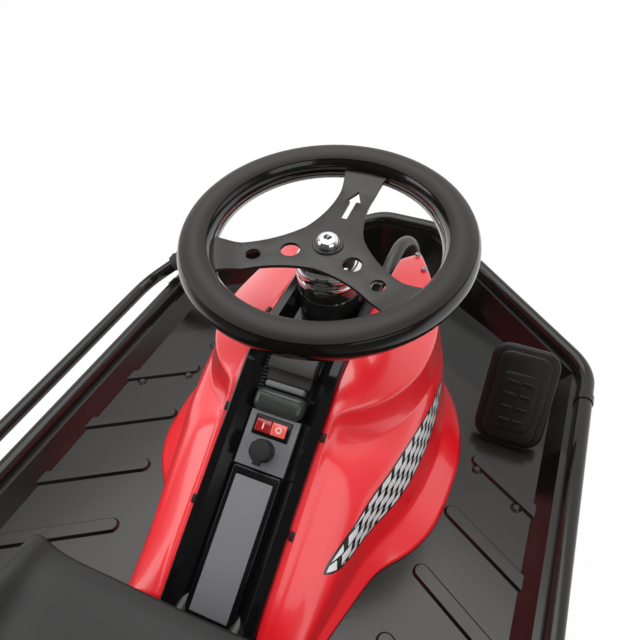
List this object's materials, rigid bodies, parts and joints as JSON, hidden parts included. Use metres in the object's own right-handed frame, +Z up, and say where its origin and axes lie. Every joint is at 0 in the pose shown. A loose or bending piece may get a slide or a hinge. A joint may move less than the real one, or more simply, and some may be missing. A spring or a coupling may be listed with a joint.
{
  "type": "electric drift kart",
  "caption": "Low steel pan kart: steered electric drive wheel in front, two rear casters on a beam turned by a drift bar, red hood, bucket seat.",
  "frame": {"origin": "on the ground under the middle of the whole kart, drift bar included", "axes": "+X to the kart's left, +Y to its rear, +Z up; the front faces -Y"},
  "size_m": [0.7294, 1.0958, 0.4945],
  "materials": {
    "painted_frame": "gloss",
    "painted_pan": "gloss",
    "satin_rim": "satin",
    "satin_plate": "satin",
    "bright_ring": "brushed",
    "chrome": "polished",
    "steel": "satin",
    "red_cover": "gloss",
    "black_plastic": "satin",
    "grey_panel": "satin",
    "rocker": "gloss",
    "tyre": "matte",
    "grip": "matte",
    "caster_wheel": "satin",
    "motor": "satin",
    "battery": "satin"
  },
  "bodies": {
    "chassis": {"frame_perimeter": "painted_frame", "frame_arch": "painted_frame", "front_strut": "painted_frame", "pan_left": "painted_pan", "pan_right": "painted_pan", "head_tube": "painted_frame", "console_channel": "painted_frame", "console_cover": "grey_panel", "console_latch": "grey_panel", "switch_panel": "grey_panel", "rocker_switch": "rocker", "charge_cap": "black_plastic", "console_pad": "grey_panel", "hood_left": "red_cover", "hood_right": "red_cover", "throttle_pedal": "black_plastic", "pedal_base": "black_plastic", "battery_box": "battery", "seat_shell": "black_plastic", "seat_mounts": "painted_frame", "beam_bearings": "painted_frame", "flag_socket": "black_plastic"},
    "steering": {"steering_rim": "satin_rim", "rim_ring": "bright_ring", "spoke_plate": "satin_plate", "hub_bolt": "chrome", "steering_collar": "chrome", "steering_stem": "steel", "drive_fork": "painted_frame", "drive_axle": "steel", "drive_motor": "motor", "drive_chain": "steel"},
    "drive_wheel": {"drive_tyre": "tyre", "drive_rim": "black_plastic", "drive_sprocket": "steel"},
    "rear_beam": {"caster_beam": "painted_frame", "drift_bar": "painted_frame", "drift_grip": "grip"},
    "caster_left": {"caster_fork_left": "painted_frame"},
    "caster_right": {"caster_fork_right": "painted_frame"},
    "caster_wheel_left": {"caster_tyre_left": "caster_wheel", "caster_hub_left": "black_plastic"},
    "caster_wheel_right": {"caster_tyre_right": "caster_wheel", "caster_hub_right": "black_plastic"}
  },
  "joints": [
    {"name": "steer", "type": "hinge", "parent": "chassis", "child": "steering", "pos_m": [-0.02325, -0.1551, 0.27565], "axis": [0, 0.1271, 0.9919], "continuous": true},
    {"name": "drive_roll", "type": "hinge", "parent": "steering", "child": "drive_wheel", "pos_m": [-0.02325, -0.17761, 0.1], "axis": [1, 0, 0], "continuous": true},
    {"name": "drift_lift", "type": "hinge", "parent": "chassis", "child": "rear_beam", "pos_m": [-0.02325, 0.44006, 0.112], "axis": [-1, 0, 0], "range_deg": [0, 20]},
    {"name": "swivel_left", "type": "hinge", "parent": "rear_beam", "child": "caster_left", "pos_m": [0.18175, 0.47406, 0.08274], "axis": [0, -0.342, 0.9397], "continuous": true},
    {"name": "caster_roll_left", "type": "hinge", "parent": "caster_left", "child": "caster_wheel_left", "pos_m": [0.18175, 0.51594, 0.032], "axis": [1, 0, 0], "continuous": true},
    {"name": "swivel_right", "type": "hinge", "parent": "rear_beam", "child": "caster_right", "pos_m": [-0.22825, 0.47406, 0.08274], "axis": [0, -0.342, 0.9397], "continuous": true},
    {"name": "caster_roll_right", "type": "hinge", "parent": "caster_right", "child": "caster_wheel_right", "pos_m": [-0.22825, 0.51594, 0.032], "axis": [1, 0, 0], "continuous": true}
  ]
}
